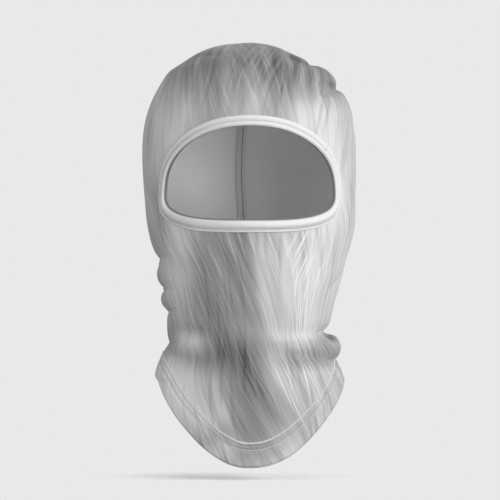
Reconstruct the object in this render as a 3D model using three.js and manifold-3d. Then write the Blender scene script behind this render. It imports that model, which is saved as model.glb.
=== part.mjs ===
/**
 * One-hole balaclava in a thin stretch knit.
 *
 * The body is one piece of knit, cut on the fold at the centre front and closed by one seam
 * that runs from the top of the forehead over the crown and down the back. A folded binding
 * finishes the eye opening, and a turned-up, coverstitched hem finishes the bib. Layers of the
 * same cloth that are folded inside are solids of their own, and each line of stitching is one
 * continuous thread.
 *
 * Millimetres, +Z up, the face looks along -Y. Heights are measured from the lowest point of
 * the bib while the pieces are made. The finished group is then lowered, so that the origin is
 * the inside of the crown, where the wearer's head carries the hood.
 */
import * as THREE from "three";
import Module from "manifold-3d";

// ---- cloth, thread and clearance ----
const CLOTH = 1.0; // thickness of one layer of knit
const GAP = 0.4; // clearance between neighbouring pieces
const THREAD_RADIUS = 0.3;

// ---- the hood's outer shape ----
const HEAD_HALF_WIDTH = 85.4;
const HEAD_FACE = 107; // reach to -Y at the mouth
const HEAD_BACK = 102; // reach to +Y at the brow
const NECK_HALF_WIDTH = 66;
const NECK_FRONT = 80;
const NECK_BACK = 68;
const BIB_HALF_WIDTH = 75;
const BIB_DROP = 72; // the hem at the sides is this much higher than at the front
const NECK_RISE = 38; // from the side of the hem to the narrowest level of the neck
const FACE_RISE = 140; // from that level to the brow, where the crown's dome begins
const CROWN_RISE = 89;
const CROWN_ROUNDNESS = 2.25; // exponent of the dome's superellipse, 2 is an ellipse

const NECK_HEIGHT = BIB_DROP + NECK_RISE;
const CROWN_BASE = NECK_HEIGHT + FACE_RISE;

// Level by level: height, half width, reach of the face to -Y, reach of the nape to +Y.
const LEVELS = [
  [0, BIB_HALF_WIDTH, NECK_FRONT + 12, NECK_BACK + 8], // tip of the bib
  [BIB_DROP, BIB_HALF_WIDTH, NECK_FRONT - 1, NECK_BACK + 5], // side of the hem
  [NECK_HEIGHT, NECK_HALF_WIDTH, NECK_FRONT, NECK_BACK],
  [NECK_HEIGHT + 22, NECK_HALF_WIDTH + 2, HEAD_FACE - 9, NECK_BACK + 7.5], // under the chin
  [NECK_HEIGHT + 45, NECK_HALF_WIDTH + 7.5, HEAD_FACE - 5, HEAD_BACK - 16], // jaw
  [CROWN_BASE - 60, HEAD_HALF_WIDTH - 3, HEAD_FACE, HEAD_BACK - 5], // mouth
  [CROWN_BASE - 30, HEAD_HALF_WIDTH, HEAD_FACE - 2, HEAD_BACK - 1], // eyes
  [CROWN_BASE, HEAD_HALF_WIDTH, HEAD_FACE - 7, HEAD_BACK], // brow
];

// ---- eye opening, to the inner edge of its binding ----
const EYE_HEIGHT = CROWN_BASE - 28.5; // level of its widest point
const EYE_HALF_WIDTH = 67.5;
const EYE_RISE = 52.5;
const EYE_DROP = 24.5;
const EYE_UPPER_ROUNDNESS = 2.15;
const EYE_LOWER_ROUNDNESS = 3.3;

// ---- binding of the eye opening ----
const BINDING_WIDTH = 8.5;
const BINDING_INSIDE_WIDTH = 7.6;
const BINDING_LIP_WIDTH = 3.8;
const BINDING_LIP_HEIGHT = 0.7; // of the rolled lip above the flange
const BINDING_FOLD = 1.65; // from the inner edge to the bottom of the fold
const BINDING_STITCH = 4.9; // from the inner edge to its line of stitches
const TACK_LENGTH = 2; // along the binding, over its joined ends

// ---- hem ----
const HEM_BACK_RISE = 22; // the hem at the back is this much higher than at the front
const HEM_CURVE = 2.3; // exponent of its curve between the front and the sides
const HEM_TURN_UP = 17;
const HEM_STITCH = 12.8; // from the edge to the lower line of stitches
const HEM_GAUGE = 5.6; // between the two lines

// ---- crown and back seam ----
const SEAM_START = 43; // how far in front of the crown it starts
const SEAM_SLIT = 0.4;
const SEAM_ALLOWANCE = 6.8;
const SEAM_STITCH = 2.6; // from the seam to its needle thread
const OVERLOCK_RADIUS = 0.5; // of the thread that wraps the raw edges

// ---- blank care label, caught in the back seam ----
const LABEL_HEIGHT = NECK_HEIGHT + 8; // of its lower edge
const LABEL_LENGTH = 30;
const LABEL_WIDTH = 20;
const LABEL_THICKNESS = 0.4;

// ---- fineness of the facets ----
const FACET_WIDTH = 7.4; // at the head's sides
const FACET_HEIGHT = 11;
const HEM_ROWS = 6;
const CROWN_ROWS = 12;
const CROWN_CROWDING = 1.15; // above 1, the crown's rows crowd towards the brow
const EYE_STEPS = 64;
const HEM_STEPS = 64;
const SEAM_STEP_LENGTH = 9;

const NECK_LINE = NECK_HEIGHT - 12; // the shell's hem rows end here and its level rows begin
const COLUMNS = 2 * Math.round((Math.PI * HEAD_HALF_WIDTH) / FACET_WIDTH);
const BODY_ROWS = Math.round((CROWN_BASE - NECK_LINE) / FACET_HEIGHT);
const CROWN_HEIGHT = CROWN_BASE + CROWN_RISE;
const BACK = Math.PI; // angle round the head of the centre back, 0 is the centre front

const KNIT = new THREE.MeshStandardMaterial({ color: 0x8e8f92, roughness: 0.9, metalness: 0 });
const KNIT_INSIDE = new THREE.MeshStandardMaterial({ color: 0xb9babb, roughness: 0.92, metalness: 0 });
const BINDING = new THREE.MeshStandardMaterial({ color: 0xdcdddd, roughness: 0.85, metalness: 0 });
const THREAD = new THREE.MeshStandardMaterial({ color: 0xcfd0d0, roughness: 0.7, metalness: 0 });
const LABEL = new THREE.MeshStandardMaterial({ color: 0xf1f1ef, roughness: 0.6, metalness: 0 });

const wasm = await Module();
wasm.setup();

// ---------------------------------------------------------------------------------------------
// The outer surface of the hood
// ---------------------------------------------------------------------------------------------

/** Slope of one column of LEVELS at level i: straight at the bib's tip, upright at the brow. */
function levelSlope(i, column) {
  if (i === LEVELS.length - 1) return 0;
  const [below, above] = [LEVELS[Math.max(i - 1, 0)], LEVELS[i + 1]];
  return (above[column] - below[column]) / (above[0] - below[0]);
}

/** One column of LEVELS at any height, as a smooth cubic through the levels. */
function levelValue(height, column) {
  const z = THREE.MathUtils.clamp(height, LEVELS[0][0], CROWN_BASE);
  let i = 0;
  while (i < LEVELS.length - 2 && z > LEVELS[i + 1][0]) i++;
  const [low, high] = [LEVELS[i], LEVELS[i + 1]];
  const span = high[0] - low[0];
  const t = (z - low[0]) / span;
  const rise = t * t * (3 - 2 * t);
  return (
    low[column] * (1 - rise) +
    high[column] * rise +
    levelSlope(i, column) * span * t * (1 - t) ** 2 -
    levelSlope(i + 1, column) * span * t * t * (1 - t)
  );
}

/** Half width and reach of the level section at a height; the reach is to the face or the nape. */
function sectionAt(height, facing) {
  const climb = Math.max(0, height - CROWN_BASE) / CROWN_RISE;
  const shrink = Math.max(0, 1 - climb ** CROWN_ROUNDNESS) ** (1 / CROWN_ROUNDNESS);
  return { width: levelValue(height, 1) * shrink, reach: levelValue(height, facing ? 2 : 3) * shrink };
}

/** Point of the outer surface at an angle round the head and a height. */
function surfacePoint(angle, height) {
  const facing = Math.cos(angle) > 0;
  const { width, reach } = sectionAt(height, facing);
  return new THREE.Vector3(width * Math.sin(angle), -reach * Math.cos(angle), height);
}

/** Moves a nearby point onto the outer surface, level on the body and towards the brow on the dome. */
function project(point) {
  const facing = point.y < 0;
  const climb = Math.max(0, point.z - CROWN_BASE) / CROWN_RISE;
  const width = levelValue(point.z, 1);
  const reach = levelValue(point.z, facing ? 2 : 3);
  const radius = Math.hypot(point.x / width, point.y / reach);
  const size = (radius ** CROWN_ROUNDNESS + climb ** CROWN_ROUNDNESS) ** (1 / CROWN_ROUNDNESS);
  const climbed = Math.max(0, point.z - CROWN_BASE) / size;
  const z = point.z > CROWN_BASE ? CROWN_BASE + climbed : point.z;
  return new THREE.Vector3(point.x / size, point.y / size, z);
}

/** Outward normal of the outer surface at one of its points. */
function normalAt(point) {
  const column = point.y < 0 ? 2 : 3;
  const width = levelValue(point.z, 1);
  const reach = levelValue(point.z, column);
  const radius = Math.hypot(point.x / width, point.y / reach);
  if (point.z > CROWN_BASE) {
    const climb = (point.z - CROWN_BASE) / CROWN_RISE;
    const pull = radius ** (CROWN_ROUNDNESS - 2);
    const lift = climb ** (CROWN_ROUNDNESS - 1) / CROWN_RISE;
    return new THREE.Vector3((pull * point.x) / width ** 2, (pull * point.y) / reach ** 2, lift).normalize();
  }
  const step = 0.01;
  const widthSlope = (levelValue(point.z + step, 1) - levelValue(point.z - step, 1)) / (2 * step);
  const reachSlope = (levelValue(point.z + step, column) - levelValue(point.z - step, column)) / (2 * step);
  const lean = (point.x ** 2 * widthSlope) / width ** 3 + (point.y ** 2 * reachSlope) / reach ** 3;
  return new THREE.Vector3(point.x / width ** 2, point.y / reach ** 2, -lean).normalize();
}

// ---------------------------------------------------------------------------------------------
// Making solids
// ---------------------------------------------------------------------------------------------

/** Geometry of a closed body, turned inside out if its triangles face in. */
function closedGeometry(points, triangles) {
  let volume = 0;
  for (let i = 0; i < triangles.length; i += 3) {
    const [a, b, c] = [points[triangles[i]], points[triangles[i + 1]], points[triangles[i + 2]]];
    volume += a.dot(b.clone().cross(c));
  }
  if (volume < 0) triangles.reverse();
  const geometry = new THREE.BufferGeometry().setFromPoints(points);
  geometry.setIndex(triangles);
  return geometry;
}

/** Two triangles for each cell between two rings of point numbers. */
function bridge(triangles, ring, next) {
  for (let i = 0; i < ring.length; i++) {
    const j = (i + 1) % ring.length;
    triangles.push(ring[i], ring[j], next[j], ring[i], next[j], next[i]);
  }
}

/** Triangles that fill a section, turning the same way as its outline. */
function fillSection(section) {
  const outline = section.map(([b, n]) => new THREE.Vector2(b, n));
  const ears = THREE.ShapeUtils.triangulateShape(outline, []);
  if (ears.length === section.length - 2) {
    const clockwise = THREE.ShapeUtils.isClockWise(outline);
    return ears.map(([i, j, k]) => (clockwise ? [k, j, i] : [i, j, k]));
  }
  // points in line make no ears, so a flat layer is filled between its two faces
  const cells = [];
  for (let i = 0; i < section.length / 2 - 1; i++) {
    const opposite = section.length - 1 - i;
    cells.push([i, i + 1, opposite - 1], [i, opposite - 1, opposite]);
  }
  return cells;
}

/** Body swept through rings of points, either closed on itself or with flat ends. */
function sweptGeometry(rings, section, closed) {
  const size = section.length;
  const numbers = rings.map((ring, r) => ring.map((_, i) => r * size + i));
  const triangles = [];
  const spans = closed ? rings.length : rings.length - 1;
  for (let r = 0; r < spans; r++) bridge(triangles, numbers[r], numbers[(r + 1) % rings.length]);
  const last = (rings.length - 1) * size;
  for (const [i, j, k] of closed ? [] : fillSection(section)) {
    triangles.push(k, j, i, last + i, last + j, last + k);
  }
  return closedGeometry(rings.flat(), triangles);
}

/** Unit vectors that lie in the surface, square to a path on it. */
function sideways(path, closed) {
  return path.map((point, i) => {
    const last = path.length - 1;
    const before = path[closed && i === 0 ? last : Math.max(i - 1, 0)];
    const after = path[closed && i === last ? 0 : Math.min(i + 1, last)];
    const along = after.clone().sub(before);
    return normalAt(point).cross(along).normalize();
  });
}

/**
 * Piece that follows a path on the surface. Its section is a list of [across, out] points:
 * across is measured along the surface, out is above it and negative inside the hood.
 */
function follow(path, section, closed = false) {
  const across = sideways(path, closed);
  const rings = path.map((point, i) =>
    section.map(([b, n]) => {
      const foot = project(point.clone().addScaledVector(across[i], b));
      return foot.clone().addScaledVector(normalAt(foot), n);
    })
  );
  return sweptGeometry(rings, section, closed);
}

/** Section of a flat layer between two widths and two depths, with points along both faces. */
function layerSection(from, to, low, high, steps = 1) {
  const widths = Array.from({ length: steps + 1 }, (_, i) => from + ((to - from) * i) / steps);
  return [...widths.map((b) => [b, low]), ...widths.reverse().map((b) => [b, high])];
}

/** Square section of a thread whose centre lies at [across, out]. */
function threadSection(across, out, radius = THREAD_RADIUS) {
  return [0, 1, 2, 3].map((i) => {
    const turn = (i * Math.PI) / 2;
    return [across + radius * Math.cos(turn), out + radius * Math.sin(turn)];
  });
}

/** Points at even distances along a path, leaving out a little at each end. */
function resample(path, count, trim = 0) {
  const lengths = [0];
  for (let i = 1; i < path.length; i++) lengths.push(lengths[i - 1] + path[i].distanceTo(path[i - 1]));
  const whole = lengths[lengths.length - 1];
  let k = 1;
  return Array.from({ length: count }, (_, i) => {
    const target = trim + ((whole - 2 * trim) * i) / (count - 1);
    while (k < path.length - 1 && lengths[k] < target) k++;
    const t = (target - lengths[k - 1]) / (lengths[k] - lengths[k - 1]);
    return project(path[k - 1].clone().lerp(path[k], t));
  });
}

function toManifold(geometry) {
  return new wasm.Manifold(
    new wasm.Mesh({
      numProp: 3,
      vertProperties: Float32Array.from(geometry.attributes.position.array),
      triVerts: Uint32Array.from(geometry.index.array),
    })
  );
}

function cut(geometry, cutters) {
  const solid = cutters.reduce((left, cutter) => left.subtract(toManifold(cutter)), toManifold(geometry));
  const { vertProperties, triVerts } = solid.getMesh();
  const result = new THREE.BufferGeometry();
  result.setAttribute("position", new THREE.BufferAttribute(vertProperties, 3));
  result.setIndex(new THREE.BufferAttribute(triVerts, 1));
  return result;
}

// ---------------------------------------------------------------------------------------------
// Lines on the surface
// ---------------------------------------------------------------------------------------------

/** Height of the hem at an angle round the head. */
function hemHeight(angle) {
  const lowest = Math.cos(angle) > 0 ? 0 : HEM_BACK_RISE;
  return lowest + (BIB_DROP - lowest) * Math.abs(Math.sin(angle)) ** HEM_CURVE;
}

/** The hem's edge, once round from the centre back. */
function hemPath() {
  const fine = Array.from({ length: 721 }, (_, i) => {
    const angle = (2 * Math.PI * i) / 720 - BACK;
    return surfacePoint(angle, hemHeight(angle));
  });
  return resample(fine, HEM_STEPS + 1).slice(0, HEM_STEPS);
}

/** Inner edge of the binding, once round the eye opening from the wearer's right temple. */
function eyePath(count, trim = 0) {
  const fine = Array.from({ length: 1441 }, (_, i) => {
    const turn = Math.PI - (2 * Math.PI * i) / 1440;
    const upper = Math.sin(turn) > 0;
    const power = 2 / (upper ? EYE_UPPER_ROUNDNESS : EYE_LOWER_ROUNDNESS);
    const x = EYE_HALF_WIDTH * Math.sign(Math.cos(turn)) * Math.abs(Math.cos(turn)) ** power;
    const climb = Math.sign(Math.sin(turn)) * Math.abs(Math.sin(turn)) ** power;
    const z = EYE_HEIGHT + climb * (upper ? EYE_RISE : EYE_DROP);
    const { width } = sectionAt(z, true);
    return surfacePoint(Math.asin(x / width), z);
  });
  return resample(fine, count, trim);
}

/** The seam, from the forehead over the crown and down the back to a height. */
function seamPath(lowest) {
  const start = Math.acos((SEAM_START / sectionAt(CROWN_BASE, true).reach) ** (CROWN_ROUNDNESS / 2));
  const fine = [];
  for (let i = 0; i < 200; i++) {
    const turn = start + ((Math.PI - start) * i) / 200;
    const height = CROWN_BASE + CROWN_RISE * Math.sin(turn) ** (2 / CROWN_ROUNDNESS);
    fine.push(surfacePoint(turn < Math.PI / 2 ? 0 : BACK, height));
  }
  fine.push(...backLine(CROWN_BASE, lowest));
  const length = fine.reduce((sum, p, i) => (i ? sum + p.distanceTo(fine[i - 1]) : 0), 0);
  return resample(fine, Math.ceil(length / SEAM_STEP_LENGTH) + 1);
}

/** The centre back, from one height down to another. */
function backLine(from, to) {
  const steps = Math.ceil((from - to) / SEAM_STEP_LENGTH) * 8;
  return Array.from({ length: steps + 1 }, (_, i) => surfacePoint(BACK, from + ((to - from) * i) / steps));
}

// ---------------------------------------------------------------------------------------------
// Pieces
// ---------------------------------------------------------------------------------------------

/** Heights of the shell's rows at an angle, from the hem up to just below the crown. */
function rowHeights(angle) {
  const hem = hemHeight(angle);
  const heights = [];
  for (let i = 0; i < HEM_ROWS; i++) heights.push(hem + ((NECK_LINE - hem) * i) / HEM_ROWS);
  for (let i = 0; i < BODY_ROWS; i++) {
    heights.push(NECK_LINE + ((CROWN_BASE - NECK_LINE) * i) / BODY_ROWS);
  }
  for (let i = 0; i < CROWN_ROWS; i++) {
    const turn = (Math.PI / 2) * (i / CROWN_ROWS) ** CROWN_CROWDING;
    heights.push(CROWN_BASE + CROWN_RISE * Math.sin(turn) ** (2 / CROWN_ROUNDNESS));
  }
  return heights;
}

/** Plug that cuts the eye opening, down to the raw edge that the binding's fold holds. */
function eyeCutter() {
  const edge = eyePath(EYE_STEPS + 1).slice(0, EYE_STEPS);
  const across = sideways(edge, true);
  const reach = 15;
  // its wall stands square to the cloth where it passes through, and may lean beyond
  const rings = [reach, GAP, -CLOTH - GAP, -reach].map((out) =>
    edge.map((point, i) => {
      const foot = project(point.clone().addScaledVector(across[i], BINDING_FOLD + GAP));
      return foot.clone().addScaledVector(normalAt(foot), out);
    })
  );
  const middle = surfacePoint(0, EYE_HEIGHT);
  // the outer end is a cone that stays clear of the cloth's bulge
  const ends = [EYE_HALF_WIDTH, -reach].map((out) => middle.clone().addScaledVector(normalAt(middle), out));
  const numbers = rings.map((ring, r) => ring.map((_, i) => r * EYE_STEPS + i));
  const [front, back] = [rings.length * EYE_STEPS, rings.length * EYE_STEPS + 1];
  const [first, last] = [numbers[0], numbers[rings.length - 1]];
  const triangles = [];
  for (let r = 0; r < rings.length - 1; r++) bridge(triangles, numbers[r], numbers[r + 1]);
  for (let i = 0; i < EYE_STEPS; i++) {
    const j = (i + 1) % EYE_STEPS;
    triangles.push(front, first[j], first[i], back, last[i], last[j]);
  }
  return closedGeometry([...rings.flat(), ...ends], triangles);
}

/** Slab that parts the cloth along the crown and back seam. */
function seamCutter() {
  const [length, height] = [2 * CROWN_HEIGHT, 2 * CROWN_HEIGHT];
  const slab = new THREE.BufferGeometry();
  const [x, front, back, low, high] = [SEAM_SLIT / 2, -SEAM_START, length, -height, height];
  const corners = [];
  for (const z of [low, high]) {
    corners.push([-x, front, z], [x, front, z], [x, back, z], [-x, back, z]);
  }
  slab.setAttribute("position", new THREE.Float32BufferAttribute(corners.flat(), 3));
  const sides = [[0, 1, 5, 4], [1, 2, 6, 5], [2, 3, 7, 6], [3, 0, 4, 7], [3, 2, 1, 0], [4, 5, 6, 7]];
  slab.setIndex(sides.flatMap(([a, b, c, d]) => [a, b, c, a, c, d]));
  return slab;
}

/** The knit body: one layer of cloth with its eye opening and its parted seam. */
function hoodShell() {
  const angles = Array.from({ length: COLUMNS }, (_, i) => BACK - (2 * Math.PI * i) / COLUMNS);
  const outer = angles.map((angle) => rowHeights(angle).map((z) => surfacePoint(angle, z)));
  const inner = outer.map((column) => column.map((p) => p.clone().addScaledVector(normalAt(p), -CLOTH)));
  const rows = outer[0].length;
  const points = [...outer.flat(), ...inner.flat()];
  const poles = [points.length, points.length + 1];
  points.push(new THREE.Vector3(0, 0, CROWN_HEIGHT), new THREE.Vector3(0, 0, CROWN_HEIGHT - CLOTH));
  const ring = (layer, row) => angles.map((_, i) => (layer * COLUMNS + i) * rows + row);
  const triangles = [];
  for (let row = 0; row < rows - 1; row++) {
    bridge(triangles, ring(0, row), ring(0, row + 1));
    bridge(triangles, ring(1, row + 1), ring(1, row));
  }
  bridge(triangles, ring(1, 0), ring(0, 0));
  const [top, under] = [ring(0, rows - 1), ring(1, rows - 1)];
  for (let i = 0; i < COLUMNS; i++) {
    const j = (i + 1) % COLUMNS;
    triangles.push(top[i], top[j], poles[0], under[j], under[i], poles[1]);
  }
  return cut(closedGeometry(points, triangles), [eyeCutter(), seamCutter()]);
}

/** The hem folded up inside the bib, one layer of cloth behind the shell. */
function hemTurnUp() {
  return follow(hemPath(), layerSection(0, HEM_TURN_UP, -CLOTH - GAP, -2 * CLOTH - GAP, 3), true);
}

const allowanceEnd = HEM_BACK_RISE + HEM_TURN_UP + 2 * GAP;

/** One edge of the body turned inside along the seam; the second lies on the first. */
function seamAllowance(layer) {
  const depth = CLOTH + GAP + layer * (CLOTH + GAP);
  const start = layer === 0 ? GAP : -GAP;
  return follow(seamPath(allowanceEnd), layerSection(start, SEAM_ALLOWANCE, -depth, -depth - CLOTH, 2));
}

const allowanceDepth = 3 * CLOTH + 2 * GAP;

function overlockNeedleThread() {
  const out = -allowanceDepth - GAP - THREAD_RADIUS;
  return follow(seamPath(allowanceEnd), threadSection(SEAM_STITCH, out));
}

/** Thread that wraps the raw edges of both allowances. */
function overlockLooperThread() {
  const across = SEAM_ALLOWANCE + GAP + OVERLOCK_RADIUS;
  const out = -(CLOTH + GAP + allowanceDepth) / 2;
  return follow(seamPath(allowanceEnd), threadSection(across, out, OVERLOCK_RADIUS));
}

const bindingOutside = GAP + CLOTH; // height of the flange's face above the shell
const bindingInside = -2 * CLOTH - GAP;

/** Folded strip that takes the raw edge of the eye opening; its ends meet at the temple. */
function eyeBinding() {
  const lip = bindingOutside + BINDING_LIP_HEIGHT;
  const section = [
    [0, -CLOTH - GAP],
    [0, GAP],
    [0.25 * BINDING_LIP_WIDTH, lip],
    [0.7 * BINDING_LIP_WIDTH, lip],
    [BINDING_LIP_WIDTH, bindingOutside],
    [BINDING_WIDTH, bindingOutside],
    [BINDING_WIDTH, GAP],
    [BINDING_FOLD, GAP],
    [BINDING_FOLD, -CLOTH - GAP],
    [BINDING_INSIDE_WIDTH, -CLOTH - GAP],
    [BINDING_INSIDE_WIDTH, bindingInside],
    [0.25 * BINDING_LIP_WIDTH, bindingInside],
  ];
  return follow(eyePath(EYE_STEPS + 1, GAP / 2), section);
}

function bindingNeedleThread() {
  const section = threadSection(BINDING_STITCH, bindingOutside + GAP + THREAD_RADIUS);
  return follow(eyePath(EYE_STEPS + 1, TACK_LENGTH / 2 + GAP), section);
}

function bindingLooperThread() {
  const section = threadSection(BINDING_STITCH, bindingInside - GAP - THREAD_RADIUS);
  return follow(eyePath(EYE_STEPS + 1, TACK_LENGTH / 2 + GAP), section);
}

/** Short block of tight stitches over the joined ends of the binding. */
function bindingBartack() {
  const loop = eyePath(EYE_STEPS + 1);
  const joint = loop[0];
  const along = loop[1].clone().sub(loop[EYE_STEPS - 1]).normalize();
  const path = [-0.5, 0, 0.5].map((t) => project(joint.clone().addScaledVector(along, t * TACK_LENGTH)));
  const low = bindingOutside + GAP;
  return follow(path, layerSection(BINDING_LIP_WIDTH + GAP, BINDING_WIDTH, low, low + 2 * THREAD_RADIUS));
}

function hemNeedleThread(across) {
  return follow(hemPath(), threadSection(across, GAP + THREAD_RADIUS), true);
}

/** Flat lacing of thread inside the bib, over the edge of the turned-up hem. */
function hemLooperThread() {
  const low = -2 * CLOTH - 2 * GAP;
  return follow(hemPath(), layerSection(HEM_STITCH, HEM_TURN_UP, low, low - THREAD_RADIUS, 1), true);
}

/** Blank label beside the seam at the nape, on the side without the allowances. */
function careLabel() {
  const low = -CLOTH - GAP;
  const path = resample(backLine(LABEL_HEIGHT + LABEL_LENGTH, LABEL_HEIGHT), 6);
  return follow(path, layerSection(-LABEL_WIDTH, -2 * GAP, low, low - LABEL_THICKNESS, 4));
}

// ---------------------------------------------------------------------------------------------
// Assembly
// ---------------------------------------------------------------------------------------------

const balaclava = new THREE.Group();
balaclava.position.z = -(CROWN_HEIGHT - CLOTH);

function addPiece(name, geometry, material) {
  const piece = new THREE.Mesh(geometry, material);
  piece.name = name;
  balaclava.add(piece);
}

addPiece("hood_shell", hoodShell(), KNIT);
addPiece("hem_turn_up", hemTurnUp(), KNIT_INSIDE);
addPiece("seam_allowance_left", seamAllowance(0), KNIT_INSIDE);
addPiece("seam_allowance_right", seamAllowance(1), KNIT_INSIDE);
addPiece("overlock_needle_thread", overlockNeedleThread(), THREAD);
addPiece("overlock_looper_thread", overlockLooperThread(), THREAD);
addPiece("eye_binding", eyeBinding(), BINDING);
addPiece("binding_needle_thread", bindingNeedleThread(), THREAD);
addPiece("binding_looper_thread", bindingLooperThread(), THREAD);
addPiece("binding_bartack", bindingBartack(), THREAD);
addPiece("hem_needle_thread_lower", hemNeedleThread(HEM_STITCH), THREAD);
addPiece("hem_needle_thread_upper", hemNeedleThread(HEM_STITCH + HEM_GAUGE), THREAD);
addPiece("hem_looper_thread", hemLooperThread(), THREAD);
addPiece("care_label", careLabel(), LABEL);

export default balaclava;
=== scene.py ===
import math

import bmesh
import bpy
import numpy as np
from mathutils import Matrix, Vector


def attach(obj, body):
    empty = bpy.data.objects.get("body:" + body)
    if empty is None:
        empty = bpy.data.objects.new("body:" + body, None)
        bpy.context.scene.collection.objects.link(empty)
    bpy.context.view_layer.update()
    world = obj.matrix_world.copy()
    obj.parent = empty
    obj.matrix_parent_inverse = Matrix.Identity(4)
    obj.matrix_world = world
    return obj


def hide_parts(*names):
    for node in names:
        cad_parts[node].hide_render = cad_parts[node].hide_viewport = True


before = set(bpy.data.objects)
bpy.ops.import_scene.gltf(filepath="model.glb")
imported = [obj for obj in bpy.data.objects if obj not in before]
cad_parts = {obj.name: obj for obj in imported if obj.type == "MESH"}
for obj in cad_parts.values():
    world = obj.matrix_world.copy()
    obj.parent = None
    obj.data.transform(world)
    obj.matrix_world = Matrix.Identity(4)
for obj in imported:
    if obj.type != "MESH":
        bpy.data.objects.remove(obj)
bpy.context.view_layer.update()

# ------------------------------------------------------------------ printed hood cloth
# One tube of thin stretch jersey, printed with grey and white strands. A curved seam over
# the crown and down the nape gives it the shape of a head, and it falls into soft folds
# where it is too wide for the neck. Angles run round from the face to the wearer's left.
MM = 0.001
CROWN_ABOVE_TIP = 338.0  # mm from the lowest point of the hem to the frame's origin
CLOTH_THICKNESS = 0.9

# height above the tip of the hem, reach forward to the face, reach back to the nape
REACHES = np.array(
    [
        *((0, 92, 76), (72, 83, 73), (90, 80, 70), (110, 86, 68), (132, 96, 75.5)),
        *((155, 102, 86), (190, 107, 97), (220, 105, 101), (250, 100, 102)),
    ],
    float,
)
# height above the tip of the hem, half width on that side
HALF_WIDTHS_RIGHT_EAR = np.array(
    [
        *((0, 73), (72, 73), (84, 68.5), (92, 65.5), (100, 63.5), (125, 63.5), (144, 65.5)),
        *((162, 70), (174, 76.5), (190, 81), (215, 83), (250, 85.4)),
    ],
    float,
)
HALF_WIDTHS_LEFT_EAR = np.array(
    [
        *((0, 76), (70, 76), (84, 71), (92, 67.5), (100, 63.5), (106, 61.5), (116, 64.5)),
        *((130, 67.5), (150, 74), (170, 79), (190, 84), (220, 85.5), (250, 85.4)),
    ],
    float,
)
BROW_HEIGHT = 250.0  # the crown closes above this height
CROWN_RISE = 89.0
CROWN_ROUNDNESS = 2.25
CROWN_ARC = 93.0  # mm of cloth for each radian of the crown's climb
CROWN_TOP = BROW_HEIGHT + CROWN_ARC * math.pi / 2


def through(table, height, column):
    """Smooth cubic through one column of a table whose first column is the height."""
    z, value = table[:, 0], table[:, column]
    slope = np.gradient(value, z)
    slope[-1] = 0
    height = np.clip(height, z[0], z[-1])
    i = np.clip(np.searchsorted(z, height) - 1, 0, len(z) - 2)
    span = z[i + 1] - z[i]
    t = (height - z[i]) / span
    rise = t * t * (3 - 2 * t)
    bend = slope[i] * span * t * (1 - t) ** 2 - slope[i + 1] * span * t * t * (1 - t)
    return value[i] * (1 - rise) + value[i + 1] * rise + bend


def head_form(angle, lay):
    """The hood without its folds, in mm. Lay is the length of cloth up from the hem's tip."""
    side, face = np.sin(angle), np.cos(angle)
    climb_angle = np.clip((lay - BROW_HEIGHT) / CROWN_ARC, 0, math.pi / 2)
    climb = np.sin(climb_angle) ** (2 / CROWN_ROUNDNESS)
    shrink = np.clip(np.cos(climb_angle), 0, 1) ** (2 / CROWN_ROUNDNESS)
    right, left = through(HALF_WIDTHS_RIGHT_EAR, lay, 1), through(HALF_WIDTHS_LEFT_EAR, lay, 1)
    width = np.where(side < 0, right, left)
    reach = np.where(face > 0, through(REACHES, lay, 1), through(REACHES, lay, 2))
    height = np.minimum(lay, BROW_HEIGHT) + CROWN_RISE * climb
    return np.stack([width * shrink * side, -reach * shrink * face, height], -1)


# Each crease, roll and pillow is a line on the cloth: degrees round from the face over the right
# ear, lay there, the same for its end, its depth or height, and its spread in mm.
CREASES = (
    (60, 98, 172, 106, 1.6, 3.0),
    (62, 127, 215, 120, 1.4, 3.0),
    (64, 143.5, 205, 137, 1.8, 3.0),
    (60, 164, 168, 157, 2.6, 4.2),
    (112, 165, 244, 160, 2.2, 5.0),
    (303, 107, 208, 110, 3.4, 2.8),
    (302, 86, 228, 90, 1.6, 3.0),
    (328, 350, 248, 336, 4.6, 2.8),
    (318, 297, 246, 309, 4.8, 2.6),
    (306, 368, 236, 363, 1.4, 3.4),
    (20, 352, 95, 344, 1.8, 5.0),
    (288, 262, 276, 214, 0.9, 4.0),
    (34, 112, 62, 104, 2.0, 4.0),
    (300, 140, 262, 160, 1.6, 6.0),
)
ROLLS = (
    (20, 103, 62, 99, 1.5, 5.0),
    (12, 91, 74, 86, -1.9, 5.0),
    (352, 103, 292, 101, 1.3, 5.0),
    (350, 91, 288, 88, -2.4, 3.8),
    (322, 354, 238, 350, -4.6, 26.0),
    (150, 176, 214, 180, 2.6, 9.0),
    (30, 330, 100, 318, 1.6, 9.0),
    (24, 190, 52, 176, 0.8, 10.0),
)
PILLOWS = (
    (56, 155, 205, 149, 6.6, 11.4),
    (58, 136, 215, 128, 6.8, 9.4),
    (54, 112.5, 235, 112, 3.2, 14.5),
    (52, 84, 160, 86, 3.4, 14.5),
    (172, 95, 232, 96, 3.0, 9.0),
    (170, 134, 262, 138, 2.6, 14.0),
    (301, 97.0, 206, 98, 8.2, 9.8),
    (322, 286, 246, 293, 1.2, 16.0),
    (330, 322, 244, 322.5, 2.8, 13.6),
    (322, 357, 244, 350, 1.7, 14.6),
)
# the back seam, where two curved halves meet, stands out: height, spread and mm round a radian
SEAM_RIDGE, SEAM_RIDGE_SPREAD, SEAM_RIDGE_ROUND = 5.0, 16.0, 95.0
SEAM_RIDGE_LAYS = (90.0, 385.0)
JAW_RIDGE = (56.5, 4.0, 1.5)  # degrees round, spread in degrees, height in mm
JAW_HOLLOW = (69.0, 8.0, -2.8)
JAW_LAYS = (150.0, 226.0)  # the pulled flat below the corner of the eye opening


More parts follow.
